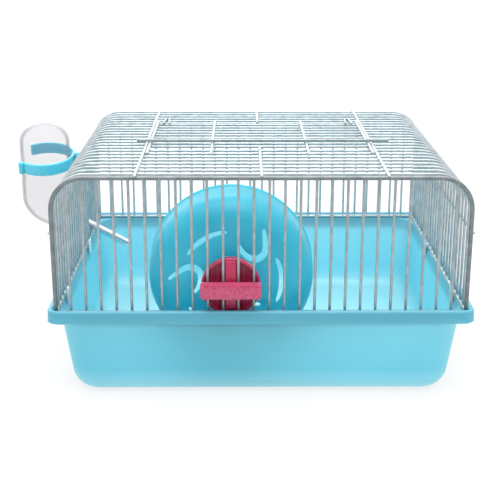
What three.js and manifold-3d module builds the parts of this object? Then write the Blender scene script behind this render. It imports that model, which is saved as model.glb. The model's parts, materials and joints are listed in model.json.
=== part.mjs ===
// Small hamster cage: a moulded tray, a wire top that stands on its rim, a hinged roof door,
// a running wheel clamped to the front bars and a water bottle hung on the left wall.
// Millimetres, +Z up, +Y to the back. The origin is the middle of the tray's underside.

import * as THREE from "three";
import { mergeVertices } from "three/addons/utils/BufferGeometryUtils.js";
import Module from "manifold-3d";

const wasm = await Module();
wasm.setup();

// ---------------------------------------------------------------- driving dimensions

const PITCH = 9.8; // spacing of the wires, centre to centre
const WIDTH_GAPS = 27; // gaps between the upright wires of the front
const DEPTH_GAPS = 23; // gaps between the hoops, front to back
const HALF_W = (WIDTH_GAPS * PITCH) / 2;
const HALF_D = (DEPTH_GAPS * PITCH) / 2;
const ROOF_Z = 149.3; // middle of the roof wires
const BEND = 21; // radius of the hoops' shoulders
const THIN = 0.9; // wire radius of the bars and hoops
const THICK = 1.4; // wire radius of the front and back arches
const BASE_WIRE = 1.1; // wire radius of the wire top's foot
const GAP = 0.3; // clearance kept between separate pieces
const WELD = 0.4; // how far welded wires sink into each other

const RIM_Z = 62.7; // top of the tray
const LEDGE_Z = 59.2; // step inside the rim that the wire top stands on
const RIM_OUT = 5.9; // rim beyond the wires' middle plane
const SKIRT_Z = 53.9; // lower edge of the rim's skirt
const WALL = 1.7; // tray wall
const FLOOR = 2; // tray floor
const TAPER = 0.1246; // outward lean of the tray walls per unit height
const BODY_INSET = 6.8; // tray wall at the floor, inside the wires' middle plane
const FOOT_BEND = 13.5; // round between the tray's walls and floor
const BODY_CORNER = 20; // plan radius of the tray's corners
const RIM_CORNER = 8; // plan radius of the rim's corners

const WHEEL_X = -2 * PITCH; // wheel axis, midway between two front bars
const WHEEL_Z = 76.7;
const WHEEL_R = 55.4;
const WHEEL_FACE_Y = -HALF_D + 14.6; // closed front of the drum
const WHEEL_DEPTH = 39;
const AXLE_R = 2.6;

const HUB_R = 19.3; // plate that clamps the wheel to the bars
const HUB_FRONT = 1.8; // front and back of that plate, counted back from the bars
const HUB_BACK = 11.8;

const BOTTLE_X = -163.5;
const BOTTLE_Y = -HALF_D + 16.5 * PITCH; // midway between two side wires
const BOTTLE_R = 19;
const BOTTLE_TOP_Z = 154.5;
const BOTTLE_ELBOW = new THREE.Vector2(-141.6, 93.5); // inside of the bottle's bend, X and Z
const NECK_TURN = THREE.MathUtils.degToRad(61); // bend between the body and the neck
const NECK_LENGTH = 5.5;
const TUBE_R = 2.8;
const TUBE_BORE = 1.9; // inner radius of the drinking tube
const TUBE_TIP = 53.2; // end of the tube, from the start of the neck
const STRAP_Z = 124.7;
const STRAP_HEIGHT = 9;
const STRAP_R = BOTTLE_R + 1.8; // inside of the strap, loose because the strap hangs tilted
const STRAP_THICK = 1.8;
const STRAP_TILT = THREE.MathUtils.degToRad(11); // back of the strap above its front

const DOOR_HALF_W = 76.5; // outer rods of the roof door
const DOOR_INNER_X = 33; // inner rods of the roof door
const DOOR_BAR_HALF = 88.5; // half length of the thick bar across the door
const DOOR_BAR_X = 2.5; // middle of that bar
const DOOR_FIRST_HOOP = 9; // first and last roof wires that belong to the door
const DOOR_LAST_HOOP = 17;
const DOOR_HINGE_HOOP = 19;
const DOOR_FRONT_Y = -52;
const DOOR_BACK_Y = 63;
const ROOF_ROD_X = 79; // long rods beside the roof opening
const WALL_ROD_Z = 114;

const SIDES = [["left", -1], ["right", 1]];
const hoopY = (hoop) => -HALF_D + hoop * PITCH; // hoops count from the front arch

// ---------------------------------------------------------------- materials

const material = (color, roughness, metalness = 0) =>
  new THREE.MeshStandardMaterial({ color, roughness, metalness });

const TRAY_BLUE = material("#3fb9d8", 0.35);
const WIRE_STEEL = material("#9aa5aa", 0.35, 0.8);
const DARK_STEEL = material("#5f6a70", 0.4, 0.8);
const WHEEL_BLUE = material("#2aa3cb", 0.3);
const HUB_MAGENTA = material("#9c1449", 0.4);
const CLAMP_PINK = material("#dd4a7c", 0.4);
const CLEAR_PLASTIC = new THREE.MeshStandardMaterial({
  color: "#e6ebf2", roughness: 0.1, transparent: true, opacity: 0.35,
});
const STRAP_BLUE = material("#1fa4da", 0.4);
const BRIGHT_STEEL = material("#d5d8da", 0.2, 1);
const SEAL_WHITE = material("#e9e9e4", 0.7);
const LUG_CLEAR = material("#bfe6ee", 0.25);

// ---------------------------------------------------------------- solids and booleans

function toSolid(geometry) {
  const bare = geometry.index ? geometry.clone() : geometry;
  bare.deleteAttribute("normal");
  bare.deleteAttribute("uv");
  const merged = mergeVertices(bare, 1e-4);
  const mesh = new wasm.Mesh({
    numProp: 3,
    vertProperties: new Float32Array(merged.attributes.position.array),
    triVerts: new Uint32Array(merged.index.array),
  });
  return new wasm.Manifold(mesh);
}

function toGeometry(solid) {
  const mesh = solid.getMesh();
  const geometry = new THREE.BufferGeometry();
  geometry.setAttribute("position", new THREE.BufferAttribute(new Float32Array(mesh.vertProperties), 3));
  geometry.setIndex(new THREE.BufferAttribute(new Uint32Array(mesh.triVerts), 1));
  geometry.computeVertexNormals();
  return geometry;
}

const join = (geometries) => toGeometry(wasm.Manifold.union(geometries.map(toSolid)));

function cut(geometry, tools) {
  return toGeometry(tools.reduce((solid, tool) => solid.subtract(toSolid(tool)), toSolid(geometry)));
}

// Closed skin over a list of rings with equal point counts; the first and last are capped.
function loft(rings) {
  const count = rings[0].length;
  const points = rings.flat();
  const index = [];
  for (let ring = 0; ring < rings.length - 1; ring += 1) {
    for (let i = 0; i < count; i += 1) {
      const a = ring * count + i;
      const b = ring * count + ((i + 1) % count);
      index.push(a, b, b + count, a, b + count, a + count);
    }
  }
  const lastStart = (rings.length - 1) * count;
  const flatten = (ring) => {
    const centre = ring.reduce((sum, p) => sum.add(p), new THREE.Vector3()).divideScalar(count);
    points.push(centre);
    return points.length - 1;
  };
  const firstCentre = flatten(rings[0]);
  const lastCentre = flatten(rings[rings.length - 1]);
  for (let i = 0; i < count; i += 1) {
    const next = (i + 1) % count;
    index.push(firstCentre, next, i);
    index.push(lastCentre, lastStart + i, lastStart + next);
  }
  const geometry = new THREE.BufferGeometry().setFromPoints(points);
  geometry.setIndex(index);
  geometry.computeVertexNormals();
  return geometry;
}

// Straight round wire between two points.
function rod(from, to, radius, sides = 4) {
  const start = new THREE.Vector3(...from);
  const along = new THREE.Vector3(...to).sub(start);
  // a prism of equal section area, with its flats facing along the axes
  const reach = radius * Math.sqrt((2 * Math.PI) / (sides * Math.sin((2 * Math.PI) / sides)));
  const geometry = new THREE.CylinderGeometry(reach, reach, along.length(), sides);
  geometry.rotateY(Math.PI / sides);
  const turn = new THREE.Quaternion().setFromUnitVectors(
    new THREE.Vector3(0, 1, 0), along.clone().normalize());
  geometry.applyQuaternion(turn);
  const middle = start.addScaledVector(along, 0.5);
  return geometry.translate(middle.x, middle.y, middle.z);
}

// Curve that runs through its stations at equal steps, for a sweep with one step per station.
class StationCurve extends THREE.Curve {
  constructor(stations) {
    super();
    this.stations = stations;
  }

  getUtoTmapping(u) {
    return u;
  }

  getPoint(t) {
    const place = THREE.MathUtils.clamp(t, 0, 1) * (this.stations.length - 1);
    const index = Math.min(Math.floor(place), this.stations.length - 2);
    return new THREE.Vector3().lerpVectors(
      this.stations[index], this.stations[index + 1], place - index);
  }
}

// Bent wire through a list of stations.
function bentWire(stations, radius, sides = 4) {
  const reach = radius * Math.sqrt((2 * Math.PI) / (sides * Math.sin((2 * Math.PI) / sides)));
  const section = new THREE.Shape();
  for (let i = 0; i < sides; i += 1) {
    const angle = ((i + 0.5) / sides) * 2 * Math.PI;
    const move = i === 0 ? "moveTo" : "lineTo";
    section[move](reach * Math.cos(angle), reach * Math.sin(angle));
  }
  section.closePath();
  return new THREE.ExtrudeGeometry(section, {
    steps: stations.length - 1,
    bevelEnabled: false,
    extrudePath: new StationCurve(stations),
  });
}

function box(low, high) {
  const size = high.map((value, axis) => value - low[axis]);
  const middle = high.map((value, axis) => (value + low[axis]) / 2);
  return new THREE.BoxGeometry(...size).translate(...middle);
}

// Turned solid about an axis that points along +Y; the profile lists [radius, y].
function turned(profile, segments, at) {
  const points = profile.map(([radius, y]) => new THREE.Vector2(radius, y));
  return new THREE.LatheGeometry([...points, points[0]], segments).translate(...at);
}

const cage = new THREE.Group();

function add(name, geometry, look) {
  const mesh = new THREE.Mesh(geometry, look);
  mesh.name = name;
  cage.add(mesh);
}

// ---------------------------------------------------------------- tray

// Rounded rectangle around the origin at height z.
function trayRing(halfW, halfD, corner, z) {
  const steps = 5;
  const ring = [];
  for (let quarter = 0; quarter < 4; quarter += 1) {
    const signX = quarter === 0 || quarter === 3 ? 1 : -1;
    const signY = quarter < 2 ? 1 : -1;
    for (let i = 0; i <= steps; i += 1) {
      const angle = ((quarter + i / steps) * Math.PI) / 2;
      ring.push(new THREE.Vector3(
        signX * (halfW - corner) + corner * Math.cos(angle),
        signY * (halfD - corner) + corner * Math.sin(angle), z));
    }
  }
  return ring;
}

// One ring of the tray, given how far it lies outside the wires' middle plane.
const trayLevel = (out, z, corner) => trayRing(HALF_W + out, HALF_D + out, corner, z);

const wallOut = (z) => z * TAPER - BODY_INSET;

// Round between floor and wall, from the floor upwards.
function footRings(radius, floorZ) {
  const steps = 4;
  const leanAngle = Math.PI / 2 - Math.atan(TAPER);
  const tangentZ = FOOT_BEND * (1 - Math.cos(leanAngle));
  const centreOut = wallOut(tangentZ) - FOOT_BEND * Math.sin(leanAngle);
  const rings = [];
  for (let i = 0; i <= steps; i += 1) {
    const angle = (leanAngle * i) / steps;
    const out = centreOut + radius * Math.sin(angle);
    const z = floorZ + radius * (1 - Math.cos(angle));
    rings.push(trayLevel(out, z, BODY_CORNER - FOOT_BEND + radius * Math.sin(angle)));
  }
  return rings;
}

function trayGeometry() {
  const under = LEDGE_Z - WALL;
  const stepOut = 2.2; // inner face of the rim's crest
  const stepCorner = 3;
  return loft([
    ...footRings(FOOT_BEND, 0),
    trayLevel(wallOut(under), under, BODY_CORNER),
    trayLevel(RIM_OUT - WALL, under, RIM_CORNER - WALL),
    trayLevel(RIM_OUT - WALL, SKIRT_Z, RIM_CORNER - WALL),
    trayLevel(RIM_OUT, SKIRT_Z, RIM_CORNER),
    trayLevel(RIM_OUT, RIM_Z - 0.9, RIM_CORNER),
    trayLevel(RIM_OUT - 0.9, RIM_Z, RIM_CORNER - 0.9),
    trayLevel(stepOut + 0.6, RIM_Z, stepCorner + 0.6),
    trayLevel(stepOut, RIM_Z - 0.6, stepCorner),
    trayLevel(stepOut, LEDGE_Z, stepCorner),
    trayLevel(wallOut(LEDGE_Z) - WALL + 0.8, LEDGE_Z, BODY_CORNER - WALL),
    trayLevel(wallOut(LEDGE_Z) - WALL, LEDGE_Z - 0.8, BODY_CORNER - WALL),
    ...footRings(FOOT_BEND - FLOOR, FLOOR).reverse(),
  ]);
}

// Lug that rises from the inside wall past the ledge and keeps the wire top from sliding sideways.
function lugGeometry(side, y) {
  const length = 6;
  const thickness = 2;
  const outer = -BASE_WIRE - 0.4;
  const onWall = (z) => wallOut(z) - WALL - GAP;
  const footZ = LEDGE_Z - 5;
  const outline = [
    [outer - thickness, footZ], [onWall(footZ), footZ], [onWall(LEDGE_Z) - 0.1, LEDGE_Z],
    [outer, LEDGE_Z + 6.5], [outer - thickness, LEDGE_Z + 6.5],
  ].map(([out, z]) => new THREE.Vector2(side * (HALF_W + out), z));
  return new THREE.ExtrudeGeometry(new THREE.Shape(outline), { depth: length, bevelEnabled: false })
    .rotateX(Math.PI / 2)
    .translate(0, y + length / 2, 0);
}

function addTray() {
  add("tray", trayGeometry(), TRAY_BLUE);
  const lugHoops = [3.5, 14.5];
  for (const [sideName, side] of SIDES) {
    lugHoops.forEach((hoop, i) => {
      add(`${sideName}_lug_${i + 1}`, lugGeometry(side, hoopY(hoop)), LUG_CLEAR);
    });
  }
}

// ---------------------------------------------------------------- wire top

const BASE_Z = LEDGE_Z + GAP + BASE_WIRE; // middle of the wire that stands on the ledge
const STACK = 2 * THIN - WELD; // height between the middles of two crossed, welded wires
const INNER_Y = HALF_D - THICK - GAP; // where the side wires stop short of the arches
const BEND_Z = ROOF_Z - BEND; // where the hoops' straight legs end

// Points of a hoop's shoulder bend between two angles: 0 is the leg, a quarter turn the roof.
function shoulder(side, y, from = 0, to = Math.PI / 2) {
  const steps = 4;
  const points = [];
  for (let i = 0; i <= steps; i += 1) {
    const angle = THREE.MathUtils.lerp(from, to, i / steps);
    points.push(new THREE.Vector3(
      side * (HALF_W - BEND + BEND * Math.cos(angle)), y, BEND_Z + BEND * Math.sin(angle)));
  }
  return points;
}

// Height of the arch's middle line at x.
function archZ(x) {
  const past = Math.max(Math.abs(x) - (HALF_W - BEND), 0);
  return BEND_Z + Math.sqrt(BEND * BEND - past * past);
}

// Front or back panel: one thick arch, a base wire and the upright bars.
function panelGeometry(y) {
  const footZ = BASE_Z - BASE_WIRE;
  const arch = bentWire([
    new THREE.Vector3(-HALF_W, y, footZ), ...shoulder(-1, y),
    ...shoulder(1, y).reverse(), new THREE.Vector3(HALF_W, y, footZ),
  ], THICK, 6);
  const parts = [arch, rod([-HALF_W, y, BASE_Z], [HALF_W, y, BASE_Z], BASE_WIRE)];
  for (let i = 1; i < WIDTH_GAPS; i += 1) {
    const x = -HALF_W + i * PITCH;
    parts.push(rod([x, y, BASE_Z], [x, y, archZ(x)], THIN));
  }
  return join(parts);
}

const SEAM = Math.PI / 4; // angle on the shoulder where wall wires and roof wires part
const SEAM_GAP = GAP / 2 / BEND;

// Legs and lower shoulders of the hoops on one side, tied by the base wire and a rod at mid height.
function wallGeometry(side) {
  const x = side * HALF_W;
  const rodX = side * (HALF_W + STACK);
  const parts = [
    rod([x, -INNER_Y, BASE_Z], [x, INNER_Y, BASE_Z], BASE_WIRE),
    rod([rodX, -INNER_Y, WALL_ROD_Z], [rodX, INNER_Y, WALL_ROD_Z], THIN),
  ];
  for (let hoop = 1; hoop < DEPTH_GAPS; hoop += 1) {
    const y = hoopY(hoop);
    parts.push(bentWire(
      [new THREE.Vector3(x, y, BASE_Z), ...shoulder(side, y, 0, SEAM - SEAM_GAP)], THIN));
  }
  return join(parts);
}

// Upper shoulders and outer roof of the hoops on one side, under the long roof rod.
function sideRoofGeometry(side) {
  const rodX = side * ROOF_ROD_X;
  const parts = [rod([rodX, -INNER_Y, ROOF_Z + STACK], [rodX, INNER_Y, ROOF_Z + STACK], THIN)];
  for (let hoop = 1; hoop < DEPTH_GAPS; hoop += 1) {
    const y = hoopY(hoop);
    parts.push(bentWire(
      [...shoulder(side, y, SEAM + SEAM_GAP), new THREE.Vector3(rodX - side * 0.4, y, ROOF_Z)], THIN));
  }
  return join(parts);
}

// Middle roof wires before or behind the door opening, tied by a short rod on the centre line.
function middleRoofGeometry(firstHoop, lastHoop, rodFrom, rodTo) {
  const x = ROOF_ROD_X - THIN - GAP;
  const parts = [rod([0, rodFrom, ROOF_Z + STACK], [0, rodTo, ROOF_Z + STACK], THIN)];
  for (let hoop = firstHoop; hoop <= lastHoop; hoop += 1) {
    const y = hoopY(hoop);
    parts.push(rod([-x, y, ROOF_Z], [x, y, ROOF_Z], THIN));
  }
  return join(parts);
}

function addWireTop() {
  add("front_grille", panelGeometry(-HALF_D), WIRE_STEEL);
  add("back_grille", panelGeometry(HALF_D), WIRE_STEEL);
  for (const [sideName, side] of SIDES) {
    add(`${sideName}_wall_wires`, wallGeometry(side), WIRE_STEEL);
    add(`${sideName}_roof_wires`, sideRoofGeometry(side), WIRE_STEEL);
  }
  const beforeDoor = DOOR_FIRST_HOOP - 1;
  const behindDoor = DOOR_LAST_HOOP + 1;
  add("front_roof_wires",
    middleRoofGeometry(1, beforeDoor, -INNER_Y, hoopY(beforeDoor) + 2), WIRE_STEEL);
  add("back_roof_wires",
    middleRoofGeometry(behindDoor, DEPTH_GAPS - 1, hoopY(behindDoor) - 2, INNER_Y), WIRE_STEEL);
}

// ---------------------------------------------------------------- roof door

const DOOR_Z = ROOF_Z + 0.7; // cross wires of the door, just proud of the roof
const DOOR_ROD_Z = DOOR_Z + STACK;

function doorGeometry() {
  const x = DOOR_HALF_W + 0.6;
  const parts = [];
  for (const rodX of [-DOOR_HALF_W, -DOOR_INNER_X, DOOR_INNER_X, DOOR_HALF_W]) {
    parts.push(rod([rodX, DOOR_FRONT_Y, DOOR_ROD_Z], [rodX, DOOR_BACK_Y, DOOR_ROD_Z], THIN));
  }
  for (let hoop = DOOR_FIRST_HOOP; hoop <= DOOR_LAST_HOOP; hoop += 1) {
    parts.push(rod([-x, hoopY(hoop), DOOR_Z], [x, hoopY(hoop), DOOR_Z], THIN));
  }
  return join(parts);
}

// Wire eye around the hinge hoop, with two legs that lie on the door.
function hingeLoopGeometry(x) {
  const wire = 0.7;
  const eyeR = 2.15;
  const legZ = DOOR_Z + THIN + GAP + 0.5;
  const eye = new THREE.TorusGeometry(eyeR, wire, 5, 12)
    .rotateY(Math.PI / 2)
    .translate(x, hoopY(DOOR_HINGE_HOOP), ROOF_Z);
  const legs = [-2.4, 2.4].map((spread) => rod(
    [x, hoopY(DOOR_HINGE_HOOP), ROOF_Z + eyeR],
    [x + spread, hoopY(DOOR_LAST_HOOP) - 2, legZ], wire - 0.1));
  return join([eye, ...legs]);
}

function addRoofDoor() {
  add("door_grille", doorGeometry(), WIRE_STEEL);
  const barR = 1.4;
  const barZ = DOOR_ROD_Z + THIN + GAP + barR;
  const barY = hoopY(DOOR_FIRST_HOOP + 0.5);
  add("door_crossbar",
    rod([DOOR_BAR_X - DOOR_BAR_HALF, barY, barZ], [DOOR_BAR_X + DOOR_BAR_HALF, barY, barZ], barR, 6),
    DARK_STEEL);
  for (const [sideName, side] of SIDES) {
    add(`${sideName}_hinge_loop`, hingeLoopGeometry(side * 70), WIRE_STEEL);
  }
}

// ---------------------------------------------------------------- running wheel

// Turned piece on the wheel's axis; y counts back from the front bars.
const onWheelAxis = (profile, segments) =>
  turned(profile, segments, [WHEEL_X, -HALF_D, WHEEL_Z]);

// Drum: closed face in front, rounded shoulder, open behind.
function drumProfile() {
  const thickness = 1.9;
  const shoulderR = 15;
  const bore = 5.4;
  const face = WHEEL_FACE_Y + HALF_D;
  const rim = WHEEL_R - 0.8;
  const arc = (radius, from, to) => {
    const steps = 6;
    return Array.from({ length: steps + 1 }, (_, i) => {
      const angle = from + ((to - from) * i) / steps;
      return [rim - shoulderR + radius * Math.sin(angle), face + shoulderR - radius * Math.cos(angle)];
    });
  };
  return [
    [bore, face],
    ...arc(shoulderR, 0, Math.PI / 2),
    [WHEEL_R - 0.9, face + WHEEL_DEPTH - 2.5],
    [WHEEL_R, face + WHEEL_DEPTH - 2],
    [WHEEL_R, face + WHEEL_DEPTH],
    [rim - thickness, face + WHEEL_DEPTH],
    ...arc(shoulderR - thickness, Math.PI / 2, 0),
    [8.5, face + thickness],
    [8.5, face + 9],
    [bore, face + 9],
  ];
}

// Outline of a ribbon along a curve, its width tapering to the ends.
function ribbon(curve, widest, narrowest) {
  const steps = 8;
  const left = [];
  const right = [];
  for (let i = 0; i <= steps; i += 1) {
    const t = i / steps;
    const point = curve.getPoint(t);
    const tangent = curve.getTangent(t);
    const half = (narrowest + (widest - narrowest) * Math.sin(Math.PI * t)) / 2;
    left.push(new THREE.Vector2(point.x - tangent.y * half, point.y + tangent.x * half));
    right.push(new THREE.Vector2(point.x + tangent.y * half, point.y - tangent.x * half));
  }
  return new THREE.Shape([...right, ...left.reverse()]);
}

// Three arcs and three hooks cut through the face, turned about the axle by thirds.
function slotTools() {
  const arc = new THREE.EllipseCurve(0, 0, 33.2, 33.2, Math.PI * 0.505, Math.PI * 0.815);
  const hook = new THREE.CatmullRomCurve3([
    [-41.3, 0.7], [-34.3, 5.9], [-27.8, 9.4], [-21.8, 7.6],
    [-19.6, 2.2], [-21, -3.8], [-24.2, -8.6],
  ].map(([x, z]) => new THREE.Vector3(x, z, 0)));
  const shapes = [ribbon(arc, 3.4, 2.4), ribbon(hook, 4.6, 2.2)];
  const tools = [];
  for (let third = 0; third < 3; third += 1) {
    for (const shape of shapes) {
      tools.push(new THREE.ExtrudeGeometry(shape, { depth: 12, bevelEnabled: false })
        .rotateX(Math.PI / 2)
        .rotateY((third * 2 * Math.PI) / 3)
        .translate(WHEEL_X, WHEEL_FACE_Y + 6, WHEEL_Z));
    }
  }
  return tools;
}

// Dished plate behind the bars, with an upright spine and a spacer towards the wheel.
function hubPlateGeometry() {
  const bore = AXLE_R + GAP;
  const front = HUB_FRONT;
  const dish = onWheelAxis([
    [bore, front + 4.6], [HUB_R - 1.9, front + 4.6], [HUB_R - 1.9, front], [HUB_R, front],
    [HUB_R, front + 4.7], [HUB_R - 1, front + 5.7], [7, front + 5.7], [7, HUB_BACK], [bore, HUB_BACK],
  ], 24);
  const spine = box(
    [WHEEL_X - 3.6, -HALF_D + 0.2, WHEEL_Z - HUB_R + 4.6],
    [WHEEL_X + 3.6, -HALF_D + front + 5, WHEEL_Z + HUB_R - 1.2]);
  const drill = new THREE.CylinderGeometry(bore, bore, 40, 24)
    .translate(WHEEL_X, -HALF_D, WHEEL_Z);
  return cut(join([dish, spine]), [drill]);
}

// Bar outside the bars that is turned by hand to tighten the mount.
function clampBarGeometry() {
  const back = -HALF_D - THIN - GAP;
  const depth = 7;
  const half = { x: 19.5, z: 5.3 };
  const body = box(
    [WHEEL_X - half.x, back - depth, WHEEL_Z - half.z], [WHEEL_X + half.x, back, WHEEL_Z + half.z]);
  const tools = [
    new THREE.CylinderGeometry(AXLE_R + GAP, AXLE_R + GAP, 2 * (depth - 1.5), 20)
      .translate(WHEEL_X, back, WHEEL_Z),
  ];
  for (const offset of [-14, -7, 7, 14]) {
    tools.push(box(
      [WHEEL_X + offset - 0.6, back - depth - 1, WHEEL_Z - half.z - 1],
      [WHEEL_X + offset + 0.6, back - depth + 0.6, WHEEL_Z + half.z + 1]));
  }
  return cut(body, tools);
}

function addWheel() {
  const face = WHEEL_FACE_Y + HALF_D;
  add("wheel_drum", cut(onWheelAxis(drumProfile(), 36), slotTools()), WHEEL_BLUE);
  add("wheel_bush", onWheelAxis([
    [AXLE_R + GAP, HUB_BACK + GAP], [7.4, HUB_BACK + GAP], [7.4, face - GAP],
    [5.1, face - GAP], [5.1, face + 10], [AXLE_R + GAP, face + 10],
  ], 24), SEAL_WHITE);
  add("hub_plate", hubPlateGeometry(), HUB_MAGENTA);
  add("clamp_bar", clampBarGeometry(), CLAMP_PINK);
  add("wheel_axle", onWheelAxis([
    [0, -5.5], [AXLE_R - 0.5, -5.5], [AXLE_R, -5], [AXLE_R, face + 14],
    [AXLE_R - 0.5, face + 14.5], [0, face + 14.5],
  ], 20), BRIGHT_STEEL);
  add("axle_washer", onWheelAxis([
    [AXLE_R + GAP, face + 10.3], [6, face + 10.3], [6, face + 11.1], [AXLE_R + GAP, face + 11.1],
  ], 24), BRIGHT_STEEL);
  add("axle_cap", onWheelAxis([
    [0, face + 14.8], [AXLE_R + GAP, face + 14.8], [AXLE_R + GAP, face + 11.4], [5.5, face + 11.4],
    [5.5, face + 15], [4.5, face + 16.3], [0, face + 16.3],
  ], 24), HUB_MAGENTA);
}

// ---------------------------------------------------------------- water bottle

const NECK_START_R = 10.4;
const ELBOW_SOFT = 2.9; // radius left on the inside of the bend
const TUBE_DIRECTION = new THREE.Vector3(Math.sin(NECK_TURN), 0, -Math.cos(NECK_TURN));

// Middle of the bottle's bend after turning by an angle, at a given body radius.
function bendCentre(angle, radius) {
  const reach = ELBOW_SOFT + radius;
  return new THREE.Vector3(
    BOTTLE_ELBOW.x - reach * Math.cos(angle), BOTTLE_Y, BOTTLE_ELBOW.y - reach * Math.sin(angle));
}

const NECK_START = bendCentre(NECK_TURN, NECK_START_R);

// Circle of the bottle whose plane has turned by an angle.
function bottleRing(centre, angle, radius) {
  const segments = 20;
  const across = new THREE.Vector3(-Math.cos(angle), 0, -Math.sin(angle));
  return Array.from({ length: segments }, (_, i) => {
    const turn = (i / segments) * 2 * Math.PI;
    return centre.clone()
      .addScaledVector(across, radius * Math.cos(turn))
      .add(new THREE.Vector3(0, radius * Math.sin(turn), 0));
  });
}

// Skin of the bottle from the dome to the mouth, set in by the wall.
function bottleSkin(inset) {
  const rings = [];
  const domeHeight = 16;
  const domeZ = BOTTLE_TOP_Z - domeHeight;
  const domeSteps = 5;
  for (let i = 1; i <= domeSteps; i += 1) {
    const angle = ((i / domeSteps) * Math.PI) / 2;
    const z = domeZ + (domeHeight - inset) * Math.cos(angle);
    const centre = new THREE.Vector3(BOTTLE_X, BOTTLE_Y, z);
    rings.push(bottleRing(centre, 0, (BOTTLE_R - inset) * Math.sin(angle)));
  }
  const bendSteps = 5;
  for (let i = 0; i <= bendSteps; i += 1) {
    const t = i / bendSteps;
    const angle = NECK_TURN * t;
    const radius = THREE.MathUtils.lerp(BOTTLE_R, NECK_START_R, Math.pow(t, 1.3));
    rings.push(bottleRing(bendCentre(angle, radius), angle, radius - inset));
  }
  const mouth = NECK_START.clone().addScaledVector(TUBE_DIRECTION, NECK_LENGTH);
  rings.push(bottleRing(mouth, NECK_TURN, NECK_START_R - inset));
  return rings;
}

// Turned piece on the drinking tube's axis; y counts from the start of the neck.
function onTubeAxis(profile, segments) {
  const turn = new THREE.Quaternion().setFromUnitVectors(
    new THREE.Vector3(0, 1, 0), TUBE_DIRECTION);
  return turned(profile, segments, [0, 0, 0])
    .applyQuaternion(turn)
    .translate(NECK_START.x, NECK_START.y, NECK_START.z);
}

// Lays a piece drawn flat round the bottle's axis at the strap's height and tilt.
const atStrap = (geometry) =>
  geometry.rotateX(STRAP_TILT).translate(BOTTLE_X, BOTTLE_Y, STRAP_Z);

// Open strap that snaps round the bottle.
function strapGeometry() {
  const outer = STRAP_R + STRAP_THICK;
  const from = THREE.MathUtils.degToRad(-124);
  const to = THREE.MathUtils.degToRad(130);
  const shape = new THREE.Shape();
  shape.absarc(0, 0, outer, from, to, false);
  shape.absarc(0, 0, STRAP_R, to, from, true);
  shape.closePath();
  return atStrap(
    new THREE.ExtrudeGeometry(shape, { depth: STRAP_HEIGHT, bevelEnabled: false, curveSegments: 16 })
      .translate(0, 0, -STRAP_HEIGHT / 2));
}

// Block between strap and wall, with a tongue through the wires and a crosspiece behind them.
function strapHookGeometry() {
  const strapX = BOTTLE_X + STRAP_R + STRAP_THICK + 2 * GAP;
  const wallX = -HALF_W - THIN - GAP;
  const behindX = -HALF_W + THIN + GAP;
  const hookZ = STRAP_Z + 2.2;
  const block = (fromX, toX, halfY, halfZ) => box(
    [fromX, BOTTLE_Y - halfY, hookZ - halfZ], [toX, BOTTLE_Y + halfY, hookZ + halfZ]);
  return join([
    block(strapX, wallX, 4.2, 3.2),
    block(wallX - 1, behindX + 1, 3.3, 2.8),
    block(behindX, behindX + 2, 7, 2.8),
  ]);
}

function beadGeometry() {
  const radius = 2.2;
  const angle = THREE.MathUtils.degToRad(-132.4);
  const reach = STRAP_R + radius;
  return atStrap(
    new THREE.CylinderGeometry(radius, radius, STRAP_HEIGHT + 0.6, 16)
      .rotateX(Math.PI / 2)
      .translate(reach * Math.cos(angle), reach * Math.sin(angle), 0));
}

function addBottle() {
  const capR = NECK_START_R + GAP + 1.9;
  const plate = NECK_LENGTH + 1.4;
  const capEnd = plate + 1.8;
  const bore = TUBE_R + GAP;
  add("bottle_body", loft([...bottleSkin(0), ...bottleSkin(1.2).reverse()]), CLEAR_PLASTIC);
  add("bottle_cap", onTubeAxis([
    [NECK_START_R + GAP, 1], [capR, 1], [capR, capEnd - 1], [capR - 1, capEnd], [bore, capEnd],
    [bore, plate], [NECK_START_R + GAP, plate],
  ], 32), STRAP_BLUE);
  add("cap_seal", onTubeAxis([
    [bore, NECK_LENGTH + GAP], [NECK_START_R, NECK_LENGTH + GAP], [NECK_START_R, plate - GAP],
    [bore, plate - GAP],
  ], 24), SEAL_WHITE);
  add("drinking_tube", onTubeAxis([
    [TUBE_BORE, 3], [TUBE_R, 3], [TUBE_R, TUBE_TIP - 1.5], [TUBE_R - 1, TUBE_TIP],
    [TUBE_BORE - 0.6, TUBE_TIP], [TUBE_BORE - 0.6, TUBE_TIP - 0.4], [TUBE_BORE, TUBE_TIP - 0.8],
  ], 20), BRIGHT_STEEL);
  const ballPlace = NECK_START.clone().addScaledVector(TUBE_DIRECTION, TUBE_TIP - 2.1);
  add("valve_ball",
    new THREE.SphereGeometry(TUBE_BORE - 0.25, 14, 10)
      .translate(ballPlace.x, ballPlace.y, ballPlace.z), BRIGHT_STEEL);
  add("bottle_strap", strapGeometry(), STRAP_BLUE);
  add("strap_hook", strapHookGeometry(), STRAP_BLUE);
  add("strap_bead", beadGeometry(), STRAP_BLUE);
}

addTray();
addWireTop();
addRoofDoor();
addWheel();
addBottle();

export default cage;
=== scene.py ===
import json
import math
import random

import bmesh
import bpy
from mathutils import Matrix, Vector


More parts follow.
